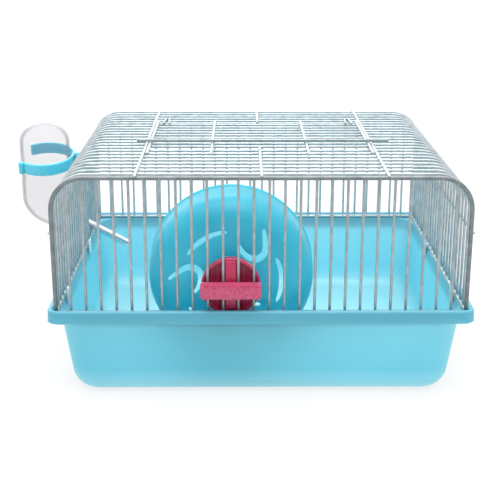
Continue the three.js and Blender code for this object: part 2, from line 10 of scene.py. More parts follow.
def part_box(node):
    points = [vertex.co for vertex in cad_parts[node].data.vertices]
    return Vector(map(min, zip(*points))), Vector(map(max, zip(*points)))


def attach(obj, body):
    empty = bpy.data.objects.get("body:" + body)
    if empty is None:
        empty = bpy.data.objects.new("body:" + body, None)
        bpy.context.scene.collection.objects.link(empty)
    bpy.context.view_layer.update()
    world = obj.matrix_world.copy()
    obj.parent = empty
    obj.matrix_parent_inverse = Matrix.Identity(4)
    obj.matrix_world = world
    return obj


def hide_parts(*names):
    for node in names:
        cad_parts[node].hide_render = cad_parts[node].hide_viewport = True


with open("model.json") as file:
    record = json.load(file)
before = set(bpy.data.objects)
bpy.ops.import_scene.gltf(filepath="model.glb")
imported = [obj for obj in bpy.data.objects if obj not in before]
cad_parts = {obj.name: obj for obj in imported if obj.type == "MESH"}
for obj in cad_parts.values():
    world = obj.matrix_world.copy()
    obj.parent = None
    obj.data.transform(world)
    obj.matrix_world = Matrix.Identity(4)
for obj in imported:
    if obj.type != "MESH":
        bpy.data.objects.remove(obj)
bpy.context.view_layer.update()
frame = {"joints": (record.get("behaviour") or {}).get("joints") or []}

# Hamster cage: moulded tray, wire top with a roof door, running wheel on a clamp, water bottle.
# Metres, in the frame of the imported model: +X right, +Y back, +Z up, origin under the tray.

# ---------------------------------------------------------------- places from the frame

MM = 0.001
JOINTS = {joint["name"]: joint for joint in frame["joints"]}


def middle(node):
    low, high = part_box(node)
    return (low + high) / 2


DEPTH_GAPS = 23  # spaces between the hoops
WIDTH_GAPS = 27  # spaces between the bars
FRONT_Y = middle("front_grille").y
BACK_Y = middle("back_grille").y
PITCH = (BACK_Y - FRONT_Y) / DEPTH_GAPS
HALF_W = WIDTH_GAPS * PITCH / 2
HALF_D = (BACK_Y - FRONT_Y) / 2
FOOT_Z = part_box("front_grille")[0].z
HINGE_Y, ROOF_Z = JOINTS["roof_door_hinge"]["pos_m"][1:]
BEND = 21 * MM  # radius of a hoop's shoulder
THIN = 0.9 * MM  # radius of hoops, bars and rods
THICK = 1.45 * MM  # radius of the front and back arches
BASE_WIRE = 1.1 * MM
STACK = 2 * THIN - 0.25 * MM  # rise of a rod that is welded across thin wires

RIM_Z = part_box("tray")[1].z
RIM_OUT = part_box("tray")[1].x - HALF_W
LEDGE_Z = FOOT_Z - 0.3 * MM

WHEEL_X, _, WHEEL_Z = JOINTS["wheel_spin"]["pos_m"]
DRUM_LOW, DRUM_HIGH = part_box("wheel_drum")
WHEEL_R = (DRUM_HIGH.x - DRUM_LOW.x) / 2

BOTTLE_R = 19 * MM
BOTTLE_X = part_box("bottle_body")[0].x + BOTTLE_R
BOTTLE_Y = middle("bottle_body").y
BOTTLE_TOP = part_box("bottle_body")[1].z
TUBE_DIRECTION = -Vector(JOINTS["valve_ball_travel"]["axis"]).normalized()

SIDES = (("left", -1), ("right", 1))


def hoop_y(hoop):
    return FRONT_Y + hoop * PITCH


# ---------------------------------------------------------------- mesh helpers

SHARP = 35  # degrees between faces that shade as an edge
WIRE_END = ((0, 0.55), (0.25, 0.86), (0.6, 1))  # distance from a wire's end and width there, in radii


def circle(count):
    """Angles of evenly spread points round a circle."""
    return [2 * math.pi * k / count for k in range(count)]


def blocky(value):
    """Sine or cosine pushed outwards, which turns a circle into a rounded square."""
    return math.copysign(abs(value) ** 0.4, value)


class Skin:
    """Vertices and faces collected for one object."""

    def __init__(self):
        self.verts = []
        self.faces = []

    def rings(self, rings, closed=False):
        """Skin over rings of equal point counts, capped at both ends unless the rings close up."""
        start = len(self.verts)
        count = len(rings[0])
        for ring in rings:
            self.verts.extend(tuple(point) for point in ring)
        steps = len(rings) if closed else len(rings) - 1
        for step in range(steps):
            here = start + step * count
            there = start + ((step + 1) % len(rings)) * count
            for i in range(count):
                j = (i + 1) % count
                self.faces.append((here + i, here + j, there + j, there + i))
        if not closed:
            last = start + (len(rings) - 1) * count
            self.faces.append(tuple(start + i for i in reversed(range(count))))
            self.faces.append(tuple(last + i for i in range(count)))

    def tube(self, points, radius, sides=12):
        """Round wire through the points, with its ends slightly rounded over."""
        points = [Vector(point) for point in points]
        tangents = path_tangents(points)
        across = tangents[0].orthogonal().normalized()
        last = len(points) - 1
        rings = []
        for i, (point, tangent) in enumerate(zip(points, tangents)):
            if i > 0:
                across = tangents[i - 1].rotation_difference(tangent) @ across
            beside = tangent.cross(across)
            inward = tangent if i == 0 else -tangent
            trims = {0: WIRE_END, last: WIRE_END[::-1]}.get(i, ((0, 1),))
            for shift, scale in trims:
                centre = point + inward * (shift * radius)
                rings.append([
                    centre + (across * math.cos(turn) + beside * math.sin(turn)) * radius * scale
                    for turn in circle(sides)
                ])
        self.rings(rings)

    def ball(self, centre, radii, turns=10, levels=6):
        """Ellipsoid with small flats at its poles, for weld beads and the valve's ball."""
        centre = Vector(centre)
        rings = []
        for level in range(levels + 1):
            angle = math.pi * (0.08 + 0.84 * level / levels)
            rings.append([
                centre + Vector((
                    radii[0] * math.sin(angle) * math.cos(turn),
                    radii[1] * math.sin(angle) * math.sin(turn),
                    radii[2] * math.cos(angle)))
                for turn in circle(turns)
            ])
        self.rings(rings)

    def lathe(self, profile, turns):
        """Body turned about +Y through the origin; its profile of (radius, y) closes on itself."""
        self.rings([
            [Vector((radius * math.cos(turn), y, radius * math.sin(turn))) for radius, y in profile]
            for turn in circle(turns)
        ], closed=True)

    def place(self, matrix):
        self.verts = [tuple(matrix @ Vector(v)) for v in self.verts]
        return self

    def object(self, name, material, sharp=SHARP):
        mesh = bpy.data.meshes.new(name)
        mesh.from_pydata(self.verts, [], self.faces)
        return finish_mesh(name, mesh, material, sharp)


def path_tangents(points):
    last = len(points) - 1
    return [
        (points[min(i + 1, last)] - points[max(i - 1, 0)]).normalized() for i in range(last + 1)
    ]


def smooth(mesh, sharp):
    """Smooth shading, apart from the edges that are sharper than the angle."""
    mesh.polygons.foreach_set("use_smooth", [True] * len(mesh.polygons))
    mesh.set_sharp_from_angle(angle=math.radians(sharp))


def finish_mesh(name, mesh, material, sharp):
    """Turns faces outwards, sets smooth shading with sharp edges and links the object."""
    work = bmesh.new()
    work.from_mesh(mesh)
    bmesh.ops.remove_doubles(work, verts=work.verts, dist=1e-7)
    bmesh.ops.recalc_face_normals(work, faces=work.faces)
    work.to_mesh(mesh)
    work.free()
    smooth(mesh, sharp)
    thing = bpy.data.objects.new(name, mesh)
    bpy.context.scene.collection.objects.link(thing)
    thing.data.materials.append(material)
    return thing


def apply_modifiers(thing):
    """Replaces the object's mesh with the result of its modifiers."""
    bpy.context.view_layer.update()
    evaluated = thing.evaluated_get(bpy.context.evaluated_depsgraph_get())
    mesh = bpy.data.meshes.new_from_object(evaluated)
    thing.modifiers.clear()
    thing.data = mesh
    smooth(mesh, SHARP)


def combine(thing, tools, operation):
    """Boolean of an object with helper objects, which are then removed."""
    for tool in tools:
        modifier = thing.modifiers.new("combine", "BOOLEAN")
        modifier.operation = operation
        modifier.solver = "EXACT"
        modifier.object = tool
    apply_modifiers(thing)
    for tool in tools:
        bpy.data.objects.remove(tool)


def soften(thing, width, angle):
    """Small round on every edge sharper than the angle."""
    modifier = thing.modifiers.new("soften", "BEVEL")
    modifier.width = width
    modifier.segments = 2
    modifier.limit_method = "ANGLE"
    modifier.angle_limit = math.radians(angle)
    apply_modifiers(thing)


def rounded_box(name, low, high, radius, material):
    """Box between two corners with rounded edges."""
    low, high = Vector(low), Vector(high)
    work = bmesh.new()
    place = Matrix.Translation((low + high) / 2) @ Matrix.Diagonal((*(high - low), 1))
    bmesh.ops.create_cube(work, size=1, matrix=place)
    bmesh.ops.bevel(
        work, geom=work.edges[:], offset=radius, segments=3, affect="EDGES", profile=0.5)
    mesh = bpy.data.meshes.new(name)
    work.to_mesh(mesh)
    work.free()
    return finish_mesh(name, mesh, material, 50)


def arc_points(centre, radius, start, end, steps, place):
    """Points of an arc; place turns (across, up) into a point in space."""
    points = []
    for i in range(steps + 1):
        angle = start + (end - start) * i / steps
        points.append(place(
            centre[0] + radius * math.cos(angle), centre[1] + radius * math.sin(angle)))
    return points


# ---------------------------------------------------------------- material helpers


class Shader:
    """Node tree of one material around a Principled surface."""

    def __init__(self, name, color, roughness, metallic=0.0):
        self.material = bpy.data.materials.new(name)
        self.material.use_nodes = True
        self.tree = self.material.node_tree
        self.surface = self.tree.nodes["Principled BSDF"]
        self.surface.inputs["Base Color"].default_value = (*color, 1)
        self.surface.inputs["Roughness"].default_value = roughness
        self.surface.inputs["Metallic"].default_value = metallic
        self.bump_normal = None

    def node(self, kind, **settings):
        made = self.tree.nodes.new(kind)
        for key, value in settings.items():
            setattr(made, key, value)
        return made

    def link(self, source, target):
        self.tree.links.new(source, target)

    def place(self):
        """Object coordinates, which are the part's own metres."""
        return self.node("ShaderNodeTexCoord").outputs["Object"]

    def noise(self, scale, detail=3.0, roughness=0.5, stretch=None):
        made = self.node("ShaderNodeTexNoise")
        made.inputs["Scale"].default_value = scale
        made.inputs["Detail"].default_value = detail
        made.inputs["Roughness"].default_value = roughness
        source = self.place()
        if stretch:
            mapping = self.node("ShaderNodeMapping")
            mapping.inputs["Scale"].default_value = stretch
            self.link(source, mapping.inputs["Vector"])
            source = mapping.outputs["Vector"]
        self.link(source, made.inputs["Vector"])
        return made.outputs["Fac"]

    def ramp(self, noise, low, high):
        """Colour between low and high over the middle of a noise's range."""
        made = self.node("ShaderNodeValToRGB")
        first, second = made.color_ramp.elements
        first.position, second.position = 0.35, 0.65
        first.color, second.color = (*low, 1), (*high, 1)
        self.link(noise, made.inputs["Fac"])
        return made.outputs["Color"]

    def height(self):
        """Height above the table, in metres."""
        made = self.node("ShaderNodeSeparateXYZ")
        self.link(self.place(), made.inputs["Vector"])
        return made.outputs["Z"]

    def mix(self, share, first, second):
        """Colour that goes from the first source to a second colour as the share rises."""
        made = self.node("ShaderNodeMix", data_type="RGBA")
        self.link(share, made.inputs["Factor"])
        self.link(first, made.inputs["A"])
        made.inputs["B"].default_value = (*second, 1)
        return made.outputs["Result"]

    def between(self, source, low, high, span=(0, 1)):
        """Number between low and high as the source goes over the span."""
        made = self.node("ShaderNodeMapRange")
        made.inputs["From Min"].default_value = span[0]
        made.inputs["From Max"].default_value = span[1]
        made.inputs["To Min"].default_value = low
        made.inputs["To Max"].default_value = high
        self.link(source, made.inputs["Value"])
        return made.outputs["Result"]

    def color(self, noise, low, high):
        self.link(self.ramp(noise, low, high), self.surface.inputs["Base Color"])

    def rough(self, source, low, high):
        self.link(self.between(source, low, high), self.surface.inputs["Roughness"])

    def bump(self, source, strength, distance):
        made = self.node("ShaderNodeBump")
        made.inputs["Strength"].default_value = strength
        made.inputs["Distance"].default_value = distance
        self.link(source, made.inputs["Height"])
        if self.bump_normal:
            self.link(self.bump_normal, made.inputs["Normal"])
        self.bump_normal = made.outputs["Normal"]
        self.link(self.bump_normal, self.surface.inputs["Normal"])

    def set(self, **values):
        for key, value in values.items():
            self.surface.inputs[key.replace("_", " ")].default_value = value
        return self


# Heights over which painted light makes the tray's colour paler towards the foot.
FOOT_PAINTED_LIGHT = (0, 18 * MM)
# Heights over which painted shade makes the tray's colour darker up to the rim.
RIM_PAINTED_SHADE = (49 * MM, 53 * MM)
BOTTLE_HAZE = (100 * MM, 124 * MM)


def tray_plastic():
    """Translucent cyan polypropylene: a paler foot as painted light from the floor, a darker rim as
    painted shade, clouds and a soft orange-peel surface.
    """
    shader = Shader("tray_plastic", (0.12, 0.56, 0.71), 0.3)
    clouds = shader.ramp(shader.noise(9, 2), (0.106, 0.455, 0.59), (0.130, 0.495, 0.63))
    # Painted light: paler towards the foot, for light bounced up from the white floor.
    foot = shader.between(shader.height(), 1, 0, FOOT_PAINTED_LIGHT)
    # Painted shade: darker from under the rim upwards, for the shade on the rim's front and under it.
    rim = shader.between(shader.height(), 0, 1, RIM_PAINTED_SHADE)
    body = shader.mix(foot, clouds, (0.29, 0.62, 0.72))
    shader.link(shader.mix(rim, body, (0.085, 0.33, 0.43)), shader.surface.inputs["Base Color"])
    shader.rough(shader.noise(60, 4), 0.34, 0.5)
    shader.bump(shader.noise(700, 2), 0.12, 0.2 * MM)
    shader.bump(shader.noise(28, 2), 0.2, 0.6 * MM)
    shader.set(Subsurface_Weight=0.6, Subsurface_Radius=(0.8, 1.0, 1.1), Subsurface_Scale=12 * MM)
    return shader.material


def lug_plastic():
    # Pale colour, partly the clips' own clear pale plastic and partly a painted highlight where they
    # catch the light.
    shader = Shader("lug_plastic", (0.66, 0.90, 0.95), 0.2)
    shader.color(shader.noise(90, 3), (0.60, 0.87, 0.93), (0.74, 0.93, 0.97))
    shader.rough(shader.noise(200, 2), 0.15, 0.3)
    shader.bump(shader.noise(600, 2), 0.15, 0.1 * MM)
    shader.set(Subsurface_Weight=0.5, Subsurface_Scale=3 * MM)
    return shader.material


def wire_steel(name, dark, light):
    """Zinc-plated wire: cloudy grey with small dull spots and a fine grain."""
    shader = Shader(name, light, 0.35, 0.6)
    shader.color(shader.noise(160, 4, 0.6), dark, light)
    shader.rough(shader.noise(420, 3), 0.28, 0.5)
    shader.bump(shader.noise(1400, 3), 0.25, 0.06 * MM)
    return shader.material


def gloss_plastic(name, dark, light, subsurface):
    """Moulded plastic with a faint flow in its colour and a fine surface."""
    shader = Shader(name, light, 0.22)
    shader.color(shader.noise(24, 3), dark, light)
    shader.rough(shader.noise(90, 4), 0.22, 0.36)
    shader.bump(shader.noise(900, 2), 0.12, 0.12 * MM)
    shader.set(Subsurface_Weight=subsurface, Subsurface_Scale=5 * MM, Subsurface_Radius=(0.6, 0.9, 1.0))
    return shader.material


def wheel_plastic():
    """Translucent teal plastic that glows where light comes through the thin wall."""
    shader = Shader("wheel_plastic", (0.03, 0.50, 0.68), 0.35)
    shader.color(shader.noise(24, 3), (0.035, 0.375, 0.50), (0.055, 0.43, 0.56))
    shader.rough(shader.noise(90, 4), 0.3, 0.45)
    shader.bump(shader.noise(900, 2), 0.12, 0.12 * MM)
    shader.set(Subsurface_Weight=0.8, Subsurface_Scale=9 * MM, Subsurface_Radius=(0.3, 1.0, 1.1),
               Specular_IOR_Level=0.35)
    return shader.material


def clamp_plastic():
    """Pink plastic with the mottled, pebbled surface of a finger grip."""
    shader = Shader("clamp_plastic", (0.55, 0.08, 0.18), 0.35)
    shader.color(shader.noise(800, 2), (0.43, 0.05, 0.125), (0.56, 0.095, 0.20))
    shader.rough(shader.noise(300, 3), 0.3, 0.5)
    shader.bump(shader.noise(800, 2), 0.3, 0.25 * MM)
    shader.set(Subsurface_Weight=0.15, Subsurface_Scale=3 * MM)
    return shader.material


def clear_plastic():
    """Clear blown bottle wall: a thin grey outline as painted shade where the wall turns away from
    view, a hazier lower half and a slight waviness.
    """
    shader = Shader("clear_plastic", (0.27, 0.255, 0.30), 0.1)
    shader.rough(shader.noise(70, 3), 0.06, 0.16)
    shader.bump(shader.noise(55, 2, stretch=(1, 1, 0.35)), 0.25, 0.5 * MM)
    # Painted shade: the wall turns grey and opaque towards its edges, in place of the dark edges that a
    # clear wall gets from the light it bends.
    edge = shader.node("ShaderNodeLayerWeight")
    edge.inputs["Blend"].default_value = 0.3
    outline = shader.between(edge.outputs["Facing"], 0, 0.95, (0.33, 0.85))
    haze = shader.between(shader.height(), 0.125, 0.105, BOTTLE_HAZE)
    total = shader.node("ShaderNodeMath", operation="ADD", use_clamp=True)
    shader.link(outline, total.inputs[0])
    shader.link(haze, total.inputs[1])
    shader.link(total.outputs["Value"], shader.surface.inputs["Alpha"])
    return shader.material


def polished_steel():
    shader = Shader("polished_steel", (0.78, 0.79, 0.80), 0.14, 1.0)
    shader.rough(shader.noise(300, 3, stretch=(1, 1, 6)), 0.1, 0.24)
    shader.bump(shader.noise(900, 2), 0.1, 0.03 * MM)
    return shader.material


def natural_plastic():
    shader = Shader("natural_plastic", (0.78, 0.78, 0.75), 0.45)
    shader.color(shader.noise(120, 3), (0.72, 0.72, 0.69), (0.82, 0.82, 0.80))
    shader.rough(shader.noise(300, 3), 0.38, 0.55)
    shader.bump(shader.noise(900, 2), 0.2, 0.1 * MM)
    return shader.material


TRAY = tray_plastic()
LUG = lug_plastic()
WIRE = wire_steel("wire_steel", (0.35, 0.40, 0.415), (0.51, 0.56, 0.575))
# Painted light: a lighter copy of the same wire, for highlights on the rods and for the back panel lit
# from behind.
ROD_WIRE_PAINTED_LIGHT = wire_steel("rod_steel", (0.47, 0.51, 0.52), (0.62, 0.66, 0.67))
# Painted shade: a much darker copy of the same wire, for the front arch.
FRONT_ARCH_PAINTED_SHADE = wire_steel("arch_steel", (0.155, 0.18, 0.19), (0.24, 0.27, 0.285))
# Painted shade: a darker copy of the same wire, for the front bars.
FRONT_WIRE_PAINTED_SHADE = wire_steel("front_steel", (0.30, 0.35, 0.36), (0.43, 0.48, 0.495))
BAR_WIRE = wire_steel("bar_steel", (0.28, 0.32, 0.33), (0.39, 0.43, 0.44))
WHEEL = wheel_plastic()
HUB = gloss_plastic("hub_plastic", (0.44, 0.022, 0.09), (0.54, 0.034, 0.13), subsurface=0.15)
CLAMP = clamp_plastic()
STRAP = gloss_plastic("strap_plastic", (0.075, 0.48, 0.61), (0.10, 0.54, 0.67), subsurface=0.6)
CLEAR = clear_plastic()
STEEL = polished_steel()
NATURAL = natural_plastic()


def show(thing, body, slot, *nodes):
    """Puts a finished piece on its body and in place of its CAD nodes."""
    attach(thing, body)
    if nodes:
        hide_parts(*nodes)


# ---------------------------------------------------------------- tray

TRAY_CORNER_STEPS = 14
WALL = 1.7 * MM
TAPER = 0.1246
BODY_INSET = 6.8 * MM
FOOT_BEND = 13.5 * MM
BODY_CORNER = 20 * MM
RIM_CORNER = 8 * MM
FLOOR = 2 * MM
SKIRT_Z = 53.9 * MM


def tray_ring(out, z, corner):
    """Rounded rectangle that lies out beyond the wires' middle plane."""
    half_w, half_d = HALF_W + out, HALF_D + out
    ring = []
    for quarter in range(4):
        sign_x = 1 if quarter in (0, 3) else -1
        sign_y = 1 if quarter < 2 else -1
        for i in range(TRAY_CORNER_STEPS + 1):
            angle = (quarter + i / TRAY_CORNER_STEPS) * math.pi / 2
            ring.append(Vector((
                sign_x * (half_w - corner) + corner * math.cos(angle),
                sign_y * (half_d - corner) + corner * math.sin(angle), z)))
    return ring


def wall_out(z):
    return z * TAPER - BODY_INSET


def foot_rings(radius, floor_z):
    """Round between the floor and the wall, from the floor upwards."""
    steps = 12
    lean = math.pi / 2 - math.atan(TAPER)
    tangent_z = FOOT_BEND * (1 - math.cos(lean))
    centre_out = wall_out(tangent_z) - FOOT_BEND * math.sin(lean)
    rings = []
    for i in range(steps + 1):
        angle = lean * i / steps
        reach = radius * math.sin(angle)
        rings.append(tray_ring(
            centre_out + reach, floor_z + radius * (1 - math.cos(angle)),
            BODY_CORNER - FOOT_BEND + reach))
    return rings


def rim_rings():
    """Skirt, crest and ledge of the rim, from under the rim round to the inside wall."""
    under = LEDGE_Z - WALL
    step_out = 2.2 * MM
    inner = wall_out(LEDGE_Z) - WALL
    bead = 0.35 * MM
    levels = [
        (wall_out(under - 1.2 * MM), under - 1.2 * MM, BODY_CORNER),
        (wall_out(under) + 0.3 * MM, under - 0.35 * MM, BODY_CORNER),
        (wall_out(under) + 1.2 * MM, under, BODY_CORNER),
        (RIM_OUT - WALL - 0.8 * MM, under, RIM_CORNER - WALL),
        (RIM_OUT - WALL, under - 0.8 * MM, RIM_CORNER - WALL),
        (RIM_OUT - WALL, SKIRT_Z + 0.5 * MM, RIM_CORNER - WALL),
        (RIM_OUT - WALL + 0.4 * MM, SKIRT_Z + 0.1 * MM, RIM_CORNER - WALL),
        (RIM_OUT - WALL / 2, SKIRT_Z, RIM_CORNER - WALL / 2),
        (RIM_OUT - 0.15 * MM, SKIRT_Z + 0.2 * MM, RIM_CORNER),
        (RIM_OUT + bead, SKIRT_Z + 0.7 * MM, RIM_CORNER + bead),
        (RIM_OUT + bead, SKIRT_Z + 1.0 * MM, RIM_CORNER + bead),
        (RIM_OUT, SKIRT_Z + 1.5 * MM, RIM_CORNER),
        (RIM_OUT - 0.1 * MM, RIM_Z - 1.4 * MM, RIM_CORNER),
        (RIM_OUT - 0.45 * MM, RIM_Z - 0.5 * MM, RIM_CORNER - 0.4 * MM),
        (RIM_OUT - 1.1 * MM, RIM_Z - 0.06 * MM, RIM_CORNER - 1.0 * MM),
        (RIM_OUT - 1.7 * MM, RIM_Z, RIM_CORNER - 1.6 * MM),
        (step_out + 0.9 * MM, RIM_Z - 0.04 * MM, 3.9 * MM),
        (step_out + 0.3 * MM, RIM_Z - 0.35 * MM, 3.3 * MM),
        (step_out, RIM_Z - 0.9 * MM, 3 * MM),
        (step_out, LEDGE_Z + 0.5 * MM, 3 * MM),
        (step_out - 0.2 * MM, LEDGE_Z + 0.1 * MM, 2.8 * MM),
        (step_out - 0.6 * MM, LEDGE_Z, 2.6 * MM),
        (inner + 1.2 * MM, LEDGE_Z, BODY_CORNER - WALL),
        (inner + 0.4 * MM, LEDGE_Z - 0.3 * MM, BODY_CORNER - WALL),
        (inner, LEDGE_Z - 1.2 * MM, BODY_CORNER - WALL),
    ]
    return [tray_ring(*level) for level in levels]


def build_tray():
    skin = Skin()
    skin.rings([
        *foot_rings(FOOT_BEND, 0),
        *rim_rings(),
        *reversed(foot_rings(FOOT_BEND - FLOOR, FLOOR)),
    ])
    tray = skin.object("tray_shell", TRAY, sharp=60)
    show(tray, "tray", "tray_plastic", "tray")


def build_lugs():
    """Tabs on the inside wall that lean with it, with sloped noses above the ledge."""
    for side_name, side in SIDES:
        for number in (1, 2):
            node = f"{side_name}_lug_{number}"
            low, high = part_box(node)
            lug = rounded_box(f"{node}_tab", low, high, 0.55 * MM, LUG)
            for vertex in lug.data.vertices:
                outward = (vertex.co.x - middle(node).x) * side
                below = max(LEDGE_Z - vertex.co.z, 0)
                above = max(vertex.co.z - LEDGE_Z - 3 * MM, 0)
                if outward > 0:
                    vertex.co.x -= side * (below * TAPER + above * 0.25)
            show(lug, "tray", "lug_plastic", node)


# ---------------------------------------------------------------- wire top

BASE_Z = FOOT_Z + BASE_WIRE
BEND_Z = ROOF_Z - BEND  # where the hoops' straight legs end
WALL_ROD_Z = 114 * MM
ROOF_ROD_X = 79 * MM
ROD_PAST = THICK + 0.6 * MM  # how far a rod runs on past an arch's middle
DOOR_HOOPS = range(9, 18)
ROD_TAIL = 2 * MM  # how far the short middle rods run on past their last hoops

# Half sizes of the weld beads.
BAR_FOOT_WELD = (1.35 * MM, 1.3 * MM, 1.5 * MM)
BAR_TOP_WELD = (1.3 * MM, 1.25 * MM, 1.6 * MM)
LEG_WELD = (1.3 * MM, 1.35 * MM, 1.5 * MM)
WALL_WELD = (1.1 * MM, 1.25 * MM, 1.25 * MM)
ROOF_WELD = (1.25 * MM, 1.25 * MM, 1.1 * MM)
CROSSBAR_WELD = (1.5 * MM, 1.6 * MM, 0.9 * MM)


def shoulder(side, y):
    """Bend of a hoop from its leg up to the roof."""
    return arc_points(
        (HALF_W - BEND, BEND_Z), BEND, 0, math.pi / 2, 10,
        lambda across, up: Vector((side * across, y, up)))


def arch_z(x):
    """Height of an arch's middle line."""
    past = max(abs(x) - (HALF_W - BEND), 0)
    return BEND_Z + math.sqrt(BEND * BEND - past * past)


def build_panel(side_name, y, seed, arch_look, bar_look):
    """Front or back panel: thick arch, base wire, upright bars and their welds."""
    node = f"{side_name}_grille"
    arch = Skin()
    arch.tube([
        (-HALF_W, y, FOOT_Z), *shoulder(-1, y), *reversed(shoulder(1, y)), (HALF_W, y, FOOT_Z),
    ], THICK, 16)
    arch.tube([(-HALF_W, y, BASE_Z), (HALF_W, y, BASE_Z)], BASE_WIRE)
    show(arch.object(f"{side_name}_arch", arch_look, sharp=60), "wire_top", "wire_steel", node)
    chance = random.Random(seed)
    bars = Skin()
    for i in range(1, WIDTH_GAPS):
        x = -HALF_W + i * PITCH
        top = arch_z(x)
        sway = chance.uniform(-0.12, 0.12) * MM
        bars.tube([
            (x, y, BASE_Z), (x + sway, y, BASE_Z + (top - BASE_Z) * 0.5), (x, y, top),
        ], THIN)
        bars.ball((x, y, BASE_Z + 0.2 * MM), BAR_FOOT_WELD)
        bars.ball((x, y, top - 0.8 * MM), BAR_TOP_WELD)
    show(bars.object(f"{side_name}_bars", bar_look, sharp=60), "wire_top", "wire_steel")


def build_hoops():
    """Hoops from side to side; those at the door stop at the roof rods."""
    chance = random.Random(11)
    skin = Skin()
    for hoop in range(1, DEPTH_GAPS):
        y = hoop_y(hoop) + chance.uniform(-0.1, 0.1) * MM
        legs = {}
        for _, side in SIDES:
            legs[side] = [(side * HALF_W, y, BASE_Z), *shoulder(side, y)]
        if hoop in DOOR_HOOPS:
            for _, side in SIDES:
                skin.tube([*legs[side], (side * (ROOF_ROD_X - THIN), y, ROOF_Z)], THIN)
        else:
            skin.tube([*legs[-1], *reversed(legs[1])], THIN)
    hoops = skin.object("hoop_wires", WIRE, sharp=60)
    show(hoops, "wire_top", "wire_steel", "left_wall_wires", "right_wall_wires", "left_roof_wires",
         "right_roof_wires", "front_roof_wires", "back_roof_wires")


def build_roof_rods():
    """Rods over the roof wires, with a weld bead at each crossing."""
    skin = Skin()
    top_z = ROOF_Z + STACK
    front, back = FRONT_Y - ROD_PAST, BACK_Y + ROD_PAST
    roof_rods = [
        (-ROOF_ROD_X, front, back), (ROOF_ROD_X, front, back),
        (0, front, hoop_y(DOOR_HOOPS.start - 1) + ROD_TAIL),
        (0, hoop_y(DOOR_HOOPS.stop) - ROD_TAIL, back),
    ]
    for x, start, end in roof_rods:
        skin.tube([(x, start, top_z), (x, end, top_z)], THIN)
        for hoop in range(1, DEPTH_GAPS):
            if start < hoop_y(hoop) < end:
                skin.ball((x, hoop_y(hoop), ROOF_Z + STACK / 2), ROOF_WELD)
    # The roof rods take the lighter copy of the wire as a painted highlight.
    show(skin.object("roof_rods", ROD_WIRE_PAINTED_LIGHT, sharp=60), "wire_top", "wire_steel")


def build_wall_rods():
    """Rods at mid height outside the side walls, and the side base wires, with their welds."""
    skin = Skin()
    for _, side in SIDES:
        rod_x = side * (HALF_W + STACK)
        skin.tube([
            (rod_x, FRONT_Y - ROD_PAST, WALL_ROD_Z), (rod_x, BACK_Y + ROD_PAST, WALL_ROD_Z),
        ], THIN)
        skin.tube([(side * HALF_W, FRONT_Y, BASE_Z), (side * HALF_W, BACK_Y, BASE_Z)], BASE_WIRE)
        for hoop in range(1, DEPTH_GAPS):
            y = hoop_y(hoop)
            skin.ball((side * (HALF_W + STACK / 2), y, WALL_ROD_Z), WALL_WELD)
            skin.ball((side * HALF_W, y, BASE_Z), LEG_WELD)
    show(skin.object("wall_rods", WIRE, sharp=60), "wire_top", "wire_steel")


# ---------------------------------------------------------------- roof door

DOOR_LOW, DOOR_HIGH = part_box("door_grille")
DOOR_OUTER_X = 76.5 * MM
DOOR_INNER_X = 33 * MM
DOOR_RODS = (-DOOR_OUTER_X, -DOOR_INNER_X, DOOR_INNER_X, DOOR_OUTER_X)
DOOR_Z = ROOF_Z + 0.7 * MM
DOOR_ROD_Z = DOOR_Z + STACK


def door_rod(x):
    """Long rod of the door; the inner ones curl down in front as catches."""
    back = (x, DOOR_HIGH.y, DOOR_ROD_Z)
    if abs(x) == DOOR_OUTER_X:
        return [back, (x, DOOR_LOW.y, DOOR_ROD_Z)]
    curl = 1.5 * MM
    centre = (DOOR_LOW.y + curl + THIN, DOOR_ROD_Z - curl)
    return [back, *arc_points(
        centre, curl, math.pi / 2, math.pi * 1.35, 9, lambda along, up: Vector((x, along, up)))]


def build_door():
    """Cross wires of the door, and the long rods over them with a weld at each crossing."""
    wires, rods = Skin(), Skin()
    for x in DOOR_RODS:
        rods.tube(door_rod(x), THIN)
    for hoop in DOOR_HOOPS:
        y = hoop_y(hoop)
        wires.tube([(DOOR_LOW.x, y, DOOR_Z), (DOOR_HIGH.x, y, DOOR_Z)], THIN)
        for x in DOOR_RODS:
            rods.ball((x, y, DOOR_Z + STACK / 2), ROOF_WELD)
    show(wires.object("door_wires", WIRE, sharp=60), "roof_door", "wire_steel", "door_grille")
    # The door rods take the lighter copy of the wire as a painted highlight.
    show(rods.object("door_rods", ROD_WIRE_PAINTED_LIGHT, sharp=60), "roof_door", "wire_steel")


def build_crossbar():
    """Thick bar welded across the door's long rods."""
    low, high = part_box("door_crossbar")
    radius = 1.2 * MM
    y = (low.y + high.y) / 2
    z = DOOR_ROD_Z + THIN + radius - 0.1 * MM
    skin = Skin()
    skin.tube([(low.x, y, z), (high.x, y, z)], radius, 16)
    for x in DOOR_RODS:
        skin.ball((x, y, DOOR_ROD_Z + THIN * 0.9), CROSSBAR_WELD)
    bar = skin.object("door_stay_bar", BAR_WIRE, sharp=60)
    show(bar, "roof_door", "dark_steel", "door_crossbar")


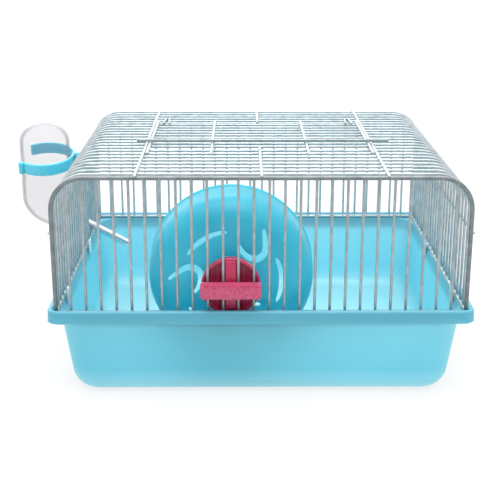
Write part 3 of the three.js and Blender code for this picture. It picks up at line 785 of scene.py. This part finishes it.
def build_hinge_loops():
    """Hairpins whose closed ends wrap the hinge hoop and whose legs are welded on the door."""
    wire = 0.7 * MM
    eye_r = THIN + 0.4 * MM + wire
    leg_z = DOOR_Z + THIN + wire
    for side_name, _ in SIDES:
        node = f"{side_name}_hinge_loop"
        x = middle(node).x
        skin = Skin()
        for spread in (-1, 1):
            foot = (x + spread * 2.4 * MM, hoop_y(DOOR_HOOPS.stop - 1) - 2 * MM, leg_z)
            wrap = arc_points(
                (HINGE_Y, ROOF_Z), eye_r, math.pi * 0.5, -math.pi * 1.1, 14,
                lambda along, up, s=spread: Vector((x + s * 0.8 * MM, along, up)))
            skin.tube([foot, (x + spread * 1.3 * MM, HINGE_Y - 4 * MM, leg_z), *wrap], wire, 10)
        loop = skin.object(f"{side_name}_hinge_hairpin", WIRE, sharp=60)
        show(loop, "roof_door", "wire_steel", node)


# ---------------------------------------------------------------- running wheel

WHEEL_PLACE = Matrix.Translation((WHEEL_X, 0, WHEEL_Z))
WHEEL_WALL = 1.9 * MM
WHEEL_SHOULDER = 15 * MM
TREAD_R = WHEEL_R - 0.8 * MM  # outside of the running surface, within the rolled lip

# Middle lines of the cut-outs in the face: an arc about the axle, and a hook whose points are
# (across, up) from the axle in millimetres.
ARC_R = 33.2 * MM
ARC_START = 0.52 * math.pi
ARC_SWEEP = 0.302 * math.pi
HOOK = (
    (-41.3, 0.7), (-34.3, 5.9), (-27.8, 9.4), (-21.8, 7.6), (-19.6, 2.2), (-21, -3.8), (-24.2, -8.6))
SLOT_END = 0.25  # width of a cut-out's end, as a share of its narrowest part

AXLE_BORE = 2.9 * MM
NEAR_AXIS = 0.01 * MM


def bowl_profile():
    """Section of the wheel: flat face, rounded shoulder, slightly flared tread, rolled lip."""
    face, back = DRUM_LOW.y, DRUM_HIGH.y
    bend_r, bend_y = TREAD_R - WHEEL_SHOULDER, face + WHEEL_SHOULDER
    bore = 5.4 * MM

    def bend(radius):
        return arc_points(
            (bend_y, bend_r), radius, math.pi, math.pi / 2, 14, lambda along, out: (out, along))

    outer = [(bore, face + 0.3 * MM), (bore + 0.3 * MM, face), (bend_r - 2 * MM, face),
             *bend(WHEEL_SHOULDER)]
    lip = [
        (WHEEL_R - 0.95 * MM, back - 3.2 * MM), (WHEEL_R - 0.5 * MM, back - 2.6 * MM),
        (WHEEL_R, back - 1.9 * MM), (WHEEL_R, back - 0.6 * MM), (WHEEL_R - 0.5 * MM, back),
        (TREAD_R - WHEEL_WALL + 0.5 * MM, back), (TREAD_R - WHEEL_WALL, back - 0.5 * MM),
    ]
    inner = [*reversed(bend(WHEEL_SHOULDER - WHEEL_WALL)), (9.3 * MM, face + WHEEL_WALL),
             (8.5 * MM, face + WHEEL_WALL + 0.8 * MM), (8.5 * MM, face + 8.6 * MM),
             (8.1 * MM, face + 9 * MM), (bore, face + 9 * MM)]
    return outer + lip + inner


def ribbon_ring(points, widths, y):
    """Outline of a ribbon along a line of (across, up) points from the axle."""
    line = [Vector((px, 0, pz)) for px, pz in points]
    tangents = path_tangents(line)
    left, right = [], []
    for point, tangent, width in zip(line, tangents, widths):
        normal = Vector((-tangent.z, 0, tangent.x))
        left.append(point + normal * width / 2)
        right.append(point - normal * width / 2)
    ring = right + left[::-1]
    return [Vector((WHEEL_X + p.x, y, WHEEL_Z + p.z)) for p in ring]


def smooth_line(points, steps):
    """Catmull-Rom line through the given points."""
    points = [Vector(p) for p in points]
    padded = [points[0] * 2 - points[1], *points, points[-1] * 2 - points[-2]]
    line = []
    for i in range(1, len(padded) - 2):
        p0, p1, p2, p3 = padded[i - 1:i + 3]
        for k in range(steps):
            t = k / steps
            line.append(0.5 * (
                2 * p1 + (p2 - p0) * t + (2 * p0 - 5 * p1 + 4 * p2 - p3) * t * t
                + (3 * p1 - p0 - 3 * p2 + p3) * t ** 3))
    line.append(points[-1])
    return line


def slot_widths(count, narrowest, widest):
    """Widths along a cut-out, which swells in the middle and is blunt at its ends."""
    last = count - 1
    widths = [narrowest + (widest - narrowest) * math.sin(math.pi * i / last) for i in range(count)]
    widths[0] *= SLOT_END
    widths[last] *= SLOT_END
    return widths


def slot_cutters():
    """Three arcs and three hooks, turned about the axle by thirds."""
    arc = arc_points(
        (0, 0), ARC_R, ARC_START, ARC_START + ARC_SWEEP, 16, lambda across, up: (across, up))
    hook = [tuple(p * MM) for p in smooth_line(HOOK, 5)]
    cutters = []
    for line, narrowest, widest in ((arc, 2.2 * MM, 3.5 * MM), (hook, 2.0 * MM, 4.5 * MM)):
        widths = slot_widths(len(line), narrowest, widest)
        for turn in circle(3):
            spun = [
                (x * math.cos(turn) - z * math.sin(turn), x * math.sin(turn) + z * math.cos(turn))
                for x, z in line
            ]
            skin = Skin()
            skin.rings([
                ribbon_ring(spun, widths, DRUM_LOW.y - 2 * MM),
                ribbon_ring(spun, widths, DRUM_LOW.y + 5 * MM),
            ])
            cutters.append(skin.object("slot_cutter", WHEEL))
    return cutters


def build_wheel():
    """Bowl with its cut-outs, and the treads inside it."""
    skin = Skin()
    skin.lathe(bowl_profile(), 128)
    skin.place(WHEEL_PLACE)
    bowl = skin.object("wheel_bowl", WHEEL, sharp=30)
    combine(bowl, slot_cutters(), "DIFFERENCE")
    soften(bowl, 0.3 * MM, angle=50)
    show(bowl, "wheel", "wheel_plastic", "wheel_drum")
    build_treads()


def build_treads():
    """Low ribs across the inside of the running surface, lower at both ends."""
    inside = TREAD_R - WHEEL_WALL
    start, end = DRUM_LOW.y + WHEEL_SHOULDER, DRUM_HIGH.y - 1.5 * MM
    root, root_half = 0.165 * MM, 0.7 * MM
    crest, crest_half = 0.33 * MM, 0.45 * MM
    skin = Skin()
    for turn in circle(60):
        place = WHEEL_PLACE @ Matrix.Rotation(turn, 4, "Y")
        skin.rings([
            [
                place @ Vector((-root_half, y, inside + root)),
                place @ Vector((-crest_half, y, inside - crest * scale)),
                place @ Vector((crest_half, y, inside - crest * scale)),
                place @ Vector((root_half, y, inside + root)),
            ]
            for y, scale in ((start, 0.3), (start + 1.5 * MM, 1), (end - 1 * MM, 1), (end, 0.3))
        ])
    ribs = skin.object("wheel_tread_ribs", WHEEL, sharp=30)
    show(ribs, "wheel", "wheel_plastic")


def build_hub_plate():
    """Dished plate with a rim, and an upright spine and four fine upright ribs in the dish."""
    low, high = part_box("hub_plate")
    radius = (high.x - low.x) / 2
    front, back = FRONT_Y + 1.8 * MM, FRONT_Y + 7.5 * MM
    skin = Skin()
    skin.lathe([
        (AXLE_BORE, front + 4.6 * MM), (radius - 2.3 * MM, front + 4.6 * MM),
        (radius - 1.9 * MM, front + 4.2 * MM), (radius - 1.8 * MM, front + 0.4 * MM),
        (radius - 1.4 * MM, front), (radius - 0.5 * MM, front), (radius, front + 0.5 * MM),
        (radius, back - 1.2 * MM), (radius - 1.2 * MM, back), (7.4 * MM, back),
        (7 * MM, back + 0.4 * MM), (7 * MM, high.y - 0.4 * MM), (6.6 * MM, high.y),
        (AXLE_BORE, high.y),
    ], 72)
    skin.place(WHEEL_PLACE)
    plate = skin.object("mount_plate", HUB)
    reach = radius - 1.2 * MM
    root = front + 5.2 * MM
    spine_half, rib_half = 3.6 * MM, 0.5 * MM
    spine = rounded_box(
        "spine", (WHEEL_X - spine_half, low.y, WHEEL_Z - reach + 3.4 * MM),
        (WHEEL_X + spine_half, root, WHEEL_Z + reach), 0.5 * MM, HUB)
    ribs = []
    for offset in (-12.5 * MM, -8.2 * MM, 8.2 * MM, 12.5 * MM):
        x = WHEEL_X + offset
        half = math.sqrt(reach ** 2 - offset ** 2)
        ribs.append(rounded_box(
            "rib", (x - rib_half, front + 2.4 * MM, WHEEL_Z - half),
            (x + rib_half, root, WHEEL_Z + half), 0.25 * MM, HUB))
    combine(plate, [spine, *ribs], "UNION")
    show(plate, "wire_top", "hub_plastic", "hub_plate")


def build_clamp_bar():
    """Finger bar: rounded ends, a knurled upper edge and a slight swelling under its middle."""
    low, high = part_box("clamp_bar")
    centre = (low + high) / 2
    half_x, half_y, half_z = (high - low) / 2
    stations = 96
    round_from, round_depth = 0.9, 0.28
    knurl_depth, knurl_to = 0.32 * MM, 0.93
    swell_depth, swell_reach = 0.54 * MM, 0.24
    rings = []
    for i in range(stations + 1):
        t = 2 * i / stations - 1
        past = max(0, abs(t) - round_from) / (1 - round_from)
        scale = 1 - round_depth * (1 - math.sqrt(max(0, 1 - past ** 2)))
        knurl = knurl_depth * (i % 2) * (abs(t) < knurl_to)
        swell = swell_depth * math.exp(-((t / swell_reach) ** 2))
        section = []
        for turn in circle(28):
            dy = half_y * blocky(math.cos(turn)) * scale
            dz = half_z * blocky(math.sin(turn)) * scale
            if dy < 0 and dz > 0.35 * half_z:
                dy += knurl
            if dz > 0.6 * half_z:
                dz -= knurl
            if dz < 0:
                dz -= swell
            section.append(Vector((centre.x + half_x * t, centre.y + dy, WHEEL_Z + dz)))
        rings.append(section)
    skin = Skin()
    skin.rings(rings)
    bar = skin.object("clamp_finger_bar", CLAMP, sharp=40)
    show(bar, "clamp", "clamp_plastic", "clamp_bar")


def turned_piece(name, profile, place, material, body, slot, node):
    """Small turned piece; the profile lists (radius, distance along the axis) in metres."""
    skin = Skin()
    skin.lathe(profile, 48)
    skin.place(place)
    show(skin.object(name, material), body, slot, node)


def build_wheel_hardware():
    """Axle, bearing bush, thrust washer and push-on cap."""
    face = DRUM_LOW.y
    low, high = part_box("wheel_axle")
    axle_r = (high.x - low.x) / 2
    turned_piece("axle_rod", [
        (NEAR_AXIS, low.y), (axle_r - 0.5 * MM, low.y), (axle_r, low.y + 0.5 * MM),
        (axle_r, high.y - 0.5 * MM), (axle_r - 0.5 * MM, high.y), (NEAR_AXIS, high.y),
    ], WHEEL_PLACE, STEEL, "wire_top", "bright_steel", "wheel_axle")
    low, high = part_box("wheel_bush")
    turned_piece("bearing_bush", [
        (AXLE_BORE, low.y), (7.1 * MM, low.y), (7.4 * MM, low.y + 0.3 * MM),
        (7.4 * MM, face - 0.4 * MM), (7.2 * MM, face - 0.2 * MM), (5.1 * MM, face - 0.2 * MM),
        (5.1 * MM, high.y - 0.3 * MM), (4.8 * MM, high.y), (AXLE_BORE, high.y),
    ], WHEEL_PLACE, NATURAL, "wheel", "white_plastic", "wheel_bush")
    low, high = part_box("axle_washer")
    turned_piece("thrust_washer", [
        (AXLE_BORE, low.y), (5.9 * MM, low.y), (6 * MM, low.y + 0.1 * MM),
        (6 * MM, high.y - 0.1 * MM), (5.9 * MM, high.y), (AXLE_BORE, high.y),
    ], WHEEL_PLACE, STEEL, "wire_top", "bright_steel", "axle_washer")
    low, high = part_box("axle_cap")
    inside = high.y - 1.6 * MM
    turned_piece("push_on_cap", [
        (NEAR_AXIS, inside), (AXLE_BORE, inside), (AXLE_BORE, low.y), (5.2 * MM, low.y),
        (5.5 * MM, low.y + 0.3 * MM), (5.5 * MM, inside), (5.2 * MM, high.y - 0.7 * MM),
        (4.4 * MM, high.y - 0.15 * MM), (3.4 * MM, high.y), (NEAR_AXIS, high.y),
    ], WHEEL_PLACE, HUB, "wire_top", "hub_plastic", "axle_cap")


# ---------------------------------------------------------------- water bottle

ELBOW = Vector((-141.6 * MM, 0, 93.5 * MM))
ELBOW_SOFT = 2.9 * MM
NECK_TURN = math.acos(-TUBE_DIRECTION.z)
NECK_START_R = 10.4 * MM
NECK_LENGTH = 5.5 * MM
DOME_HEIGHT = 16 * MM
GROOVE_Z = 110.8 * MM
GROOVE = (  # rise above the groove's middle, depth
    (1.2 * MM, 0), (0.6 * MM, 0.15 * MM), (0, 0.35 * MM), (-0.6 * MM, 0.15 * MM), (-1.2 * MM, 0))
STRAIGHT_Z = (104 * MM, 98 * MM)  # plain rings between the groove and the elbow
BOTTLE_WALL = 1.2 * MM

CAP_PLATE = NECK_LENGTH + 1.4 * MM  # inner and outer face of the cap's end, from the neck's start
CAP_END = CAP_PLATE + 1.8 * MM
CAP_R = NECK_START_R + 2.2 * MM
CAP_BORE = 3.1 * MM
CAP_RIBS = 36
GRIP_DEPTH = 0.45 * MM


def bend_centre(angle, radius):
    """Middle of the bottle's elbow where it has turned by the angle and has the radius."""
    reach = ELBOW_SOFT + radius
    return Vector((ELBOW.x - reach * math.cos(angle), BOTTLE_Y, ELBOW.z - reach * math.sin(angle)))


NECK_START = bend_centre(NECK_TURN, NECK_START_R)
TUBE_PLACE = Matrix.Translation(NECK_START) @ Vector(
    (0, 1, 0)).rotation_difference(TUBE_DIRECTION).to_matrix().to_4x4()


def bottle_ring(centre, angle, radius):
    across = Vector((-math.cos(angle), 0, -math.sin(angle)))
    beside = Vector((0, 1, 0))
    return [
        centre + (across * math.cos(turn) + beside * math.sin(turn)) * radius for turn in circle(64)
    ]


def bottle_skin(inset):
    """Rings from the dome down to the mouth, set in by the wall thickness."""
    rings = []
    dome_z = BOTTLE_TOP - DOME_HEIGHT
    for i in range(1, 17):
        angle = math.pi / 2 * i / 16
        centre = Vector((BOTTLE_X, BOTTLE_Y, dome_z + (DOME_HEIGHT - inset) * math.cos(angle)))
        rings.append(bottle_ring(centre, 0, (BOTTLE_R - inset) * math.sin(angle)))
    groove = [(GROOVE_Z + rise, depth) for rise, depth in GROOVE]
    for z, depth in (*groove, *((z, 0) for z in STRAIGHT_Z)):
        centre = Vector((BOTTLE_X, BOTTLE_Y, z))
        rings.append(bottle_ring(centre, 0, BOTTLE_R - inset - depth))
    steps = 18
    for i in range(steps + 1):
        t = i / steps
        angle = NECK_TURN * t
        radius = BOTTLE_R + (NECK_START_R - BOTTLE_R) * t ** 1.3
        rings.append(bottle_ring(bend_centre(angle, radius), angle, radius - inset))
    mouth = NECK_START + TUBE_DIRECTION * NECK_LENGTH
    rings.append(bottle_ring(mouth, NECK_TURN, NECK_START_R - inset))
    return rings


def build_bottle():
    """Clear body, screw cap, sealing ring, drinking tube and the ball in its tip."""
    skin = Skin()
    skin.rings([*bottle_skin(0), *reversed(bottle_skin(BOTTLE_WALL))])
    bottle = skin.object("bottle_shell", CLEAR, sharp=60)
    bottle.visible_shadow = False  # clear plastic hardly darkens the strap behind it
    show(bottle, "bottle", "bottle_plastic", "bottle_body")
    build_cap()
    near, far = NECK_LENGTH + 0.3 * MM, CAP_PLATE - 0.3 * MM
    turned_piece("sealing_ring", [
        (CAP_BORE, near), (NECK_START_R, near), (NECK_START_R, far), (CAP_BORE, far),
    ], TUBE_PLACE, NATURAL, "bottle", "white_plastic", "cap_seal")
    tip = 53.2 * MM
    inner, outer, mouth = 1.9 * MM, 2.8 * MM, 1.3 * MM
    turned_piece("steel_tube", [
        (inner, 3 * MM), (outer, 3 * MM), (outer, tip - 2.2 * MM), (2.65 * MM, tip - 1.2 * MM),
        (2.3 * MM, tip - 0.4 * MM), (1.8 * MM, tip), (mouth, tip), (mouth, tip - 0.4 * MM),
        (inner, tip - 0.8 * MM),
    ], TUBE_PLACE, STEEL, "bottle", "bright_steel", "drinking_tube")
    low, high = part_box("valve_ball")
    radius = (high.y - low.y) / 2
    ball = Skin()
    ball.ball((low + high) / 2, (radius, radius, radius), 24, 16)
    show(ball.object("valve_bead", STEEL), "valve_ball", "bright_steel", "valve_ball")


def build_cap():
    """Screw cap with grip ribs round its side."""
    thread_r = NECK_START_R + 0.3 * MM
    side = [(CAP_R, 1.4 * MM), (CAP_R, CAP_END - 1.2 * MM)]
    rings = []
    for k, turn in enumerate(circle(4 * CAP_RIBS)):
        depth = GRIP_DEPTH * (k % 4 in (1, 2))
        profile = [
            (thread_r, 1 * MM), (CAP_R - 0.3 * MM, 1 * MM), *((r - depth, y) for r, y in side),
            (CAP_R - 0.35 * MM, CAP_END - 0.5 * MM), (CAP_R - 1.1 * MM, CAP_END),
            (CAP_BORE, CAP_END), (CAP_BORE, CAP_PLATE), (thread_r, CAP_PLATE),
        ]
        rings.append([Vector((r * math.cos(turn), y, r * math.sin(turn))) for r, y in profile])
    skin = Skin()
    skin.rings(rings, closed=True)
    skin.place(TUBE_PLACE)
    cap = skin.object("screw_cap", STRAP, sharp=30)
    show(cap, "bottle", "strap_plastic", "bottle_cap")


# ---------------------------------------------------------------- bottle strap

STRAP_HEIGHT = 9 * MM
STRAP_THICK = 1.8 * MM
STRAP_R = BOTTLE_R + 1.8 * MM
STRAP_TILT = Matrix.Rotation(math.radians(11), 4, "X")
STRAP_PLACE = Matrix.Translation((BOTTLE_X, BOTTLE_Y, 124.7 * MM)) @ STRAP_TILT
STRAP_START = math.radians(-127.5)
STRAP_FINISH = math.radians(130)
BEAD_ANGLE = math.radians(-132.4)
BEAD_R = 2.2 * MM
BEAD_RINGS = (  # height and width, as shares of the bead's half height and radius
    (-1, 0.6), (-0.93, 0.88), (-0.8, 1), (0, 0.94), (0.8, 1), (0.93, 0.88), (1, 0.6))


def band_section(angle, half_z, half_t):
    """Rounded section of the strap at an angle round the bottle."""
    outward = Vector((math.cos(angle), math.sin(angle), 0))
    section = []
    for turn in circle(20):
        reach = STRAP_R + STRAP_THICK / 2 + half_t * blocky(math.cos(turn))
        section.append(outward * reach + Vector((0, 0, half_z * blocky(math.sin(turn)))))
    return section


def build_strap():
    """Open band that snaps round the bottle, with a bead on its front end."""
    steps = 84
    rings = []
    for i in range(steps + 1):
        angle = STRAP_START + (STRAP_FINISH - STRAP_START) * i / steps
        taper = (0.55, 0.85, 1)[min(i, steps - i, 2)]
        half_z = STRAP_HEIGHT / 2 * (0.9 + 0.1 * taper)
        rings.append(band_section(angle, half_z, STRAP_THICK / 2 * taper))
    skin = Skin()
    skin.rings(rings)
    skin.place(STRAP_PLACE)
    strap = skin.object("snap_strap", STRAP, sharp=40)
    show(strap, "wire_top", "strap_plastic", "bottle_strap")
    build_strap_bead()


def build_strap_bead():
    """Upright waisted bead that closes the strap's front end."""
    half = STRAP_HEIGHT / 2 + 0.3 * MM
    x = (STRAP_R + BEAD_R) * math.cos(BEAD_ANGLE)
    y = (STRAP_R + BEAD_R) * math.sin(BEAD_ANGLE)
    rings = []
    for rise, scale in BEAD_RINGS:
        r = BEAD_R * scale
        rings.append([
            Vector((x + r * math.cos(turn), y + r * math.sin(turn), half * rise)) for turn in circle(24)
        ])
    skin = Skin()
    skin.rings(rings)
    skin.place(STRAP_PLACE)
    bead = skin.object("strap_end_bead", STRAP, sharp=40)
    show(bead, "wire_top", "strap_plastic", "strap_bead")


def build_strap_hook():
    """Block on the strap, a tongue between two wall wires and a crosspiece behind them."""
    low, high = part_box("strap_hook")
    z = (low.z + high.z) / 2
    play = 0.2 * MM
    wall_x = -HALF_W - THIN - play
    behind_x = -HALF_W + THIN + play

    def block(name, from_x, to_x, half_y, half_z, radius):
        return rounded_box(
            name, (from_x, BOTTLE_Y - half_y, z - half_z), (to_x, BOTTLE_Y + half_y, z + half_z),
            radius, STRAP)

    hook = block("wall_hook", low.x, wall_x, 4.2 * MM, 3.2 * MM, 0.8 * MM)
    tongue = block("tongue", wall_x - 1.5 * MM, high.x - 0.4 * MM, 3.3 * MM, 2.7 * MM, 0.4 * MM)
    cross = block("cross", behind_x, high.x, 7 * MM, 2.8 * MM, 0.6 * MM)
    combine(hook, [tongue, cross], "UNION")
    show(hook, "wire_top", "strap_plastic", "strap_hook")


# ---------------------------------------------------------------- studio

CAMERA_PLACE = (-13.8 * MM, FRONT_Y - 640.9 * MM, 307.7 * MM)
CAMERA_DOWN = math.radians(17.76)
CAMERA_RIGHT = math.radians(0.576)
CAMERA_ROLL = math.radians(0.1)
SENSOR = 36  # millimetres, as Blender asks for it
LENS = 76.44
LIGHT_FROM = (0, 0.5, 0.87)
AIM = Vector((0, 0, 70 * MM))


def build_studio():
    """White floor, soft light all round and two lamps."""
    far = 9.0
    corners = [(-far, -far, 0), (far, -far, 0), (far, far, 0), (-far, far, 0)]
    floor_mesh = bpy.data.meshes.new("studio_floor")
    floor_mesh.from_pydata(corners, [], [(0, 1, 2, 3)])
    floor = bpy.data.objects.new("studio_floor", floor_mesh)
    bpy.context.scene.collection.objects.link(floor)
    floor.location.z = -0.05 * MM
    paper = Shader("floor_paper", (0.20, 0.20, 0.20), 0.95)
    paper.set(Emission_Color=(1, 1, 1, 1), Emission_Strength=0.74, Specular_IOR_Level=0.1)
    floor.data.materials.append(paper.material)
    bpy.context.scene.world = soft_box_world()
    area_light("top", (0.05, -0.45, 1.2), 0.9, 10)
    area_light("back", (-0.3, 1.0, 0.6), 0.8, 4)


def soft_box_world():
    """Even light that is strongest from above and a little behind, and weak from the front."""
    world = bpy.data.worlds.new("studio")
    world.use_nodes = True
    nodes, links = world.node_tree.nodes, world.node_tree.links
    background = nodes["Background"]
    background.inputs["Color"].default_value = (1, 1, 1, 1)
    direction = nodes.new("ShaderNodeTexCoord")
    towards = nodes.new("ShaderNodeVectorMath")
    towards.operation = "DOT_PRODUCT"
    towards.inputs[1].default_value = LIGHT_FROM
    fall = nodes.new("ShaderNodeMapRange")
    fall.inputs["From Min"].default_value = -0.4
    fall.inputs["To Min"].default_value = 0.3
    fall.inputs["To Max"].default_value = 1.9
    links.new(direction.outputs["Generated"], towards.inputs[0])
    links.new(towards.outputs["Value"], fall.inputs["Value"])
    links.new(fall.outputs["Result"], background.inputs["Strength"])
    return world


def area_light(name, place, size, power):
    data = bpy.data.lights.new(name, "AREA")
    data.size = size
    data.energy = power
    lamp = bpy.data.objects.new(name, data)
    lamp.location = place
    lamp.rotation_euler = (AIM - Vector(place)).to_track_quat("-Z", "Y").to_euler()
    bpy.context.scene.collection.objects.link(lamp)


def build_camera():
    """Camera a little left of the middle, looking down on the front."""
    data = bpy.data.cameras.new("view")
    data.sensor_width = SENSOR
    data.lens = LENS
    data.clip_start = 0.01
    data.clip_end = 50
    camera = bpy.data.objects.new("view", data)
    camera.location = CAMERA_PLACE
    heading = Matrix.Rotation(-CAMERA_RIGHT, 4, "Z")
    tilt = Matrix.Rotation(math.pi / 2 - CAMERA_DOWN, 4, "X")
    camera.rotation_euler = (heading @ tilt @ Matrix.Rotation(CAMERA_ROLL, 4, "Z")).to_euler()
    bpy.context.scene.collection.objects.link(camera)
    bpy.context.scene.camera = camera
    bpy.context.scene.view_settings.view_transform = "Standard"


build_camera()
build_studio()
build_tray()
build_lugs()
# The front panel takes darker copies of the wire as painted shade.
build_panel("front", FRONT_Y, 3, FRONT_ARCH_PAINTED_SHADE, FRONT_WIRE_PAINTED_SHADE)
# The back panel takes the lighter copy of the wire as painted light.
build_panel("back", BACK_Y, 4, ROD_WIRE_PAINTED_LIGHT, ROD_WIRE_PAINTED_LIGHT)
build_hoops()
build_roof_rods()
build_wall_rods()
build_door()
build_crossbar()
build_hinge_loops()
build_wheel()
build_hub_plate()
build_clamp_bar()
build_wheel_hardware()
build_bottle()
build_strap()
build_strap_hook()
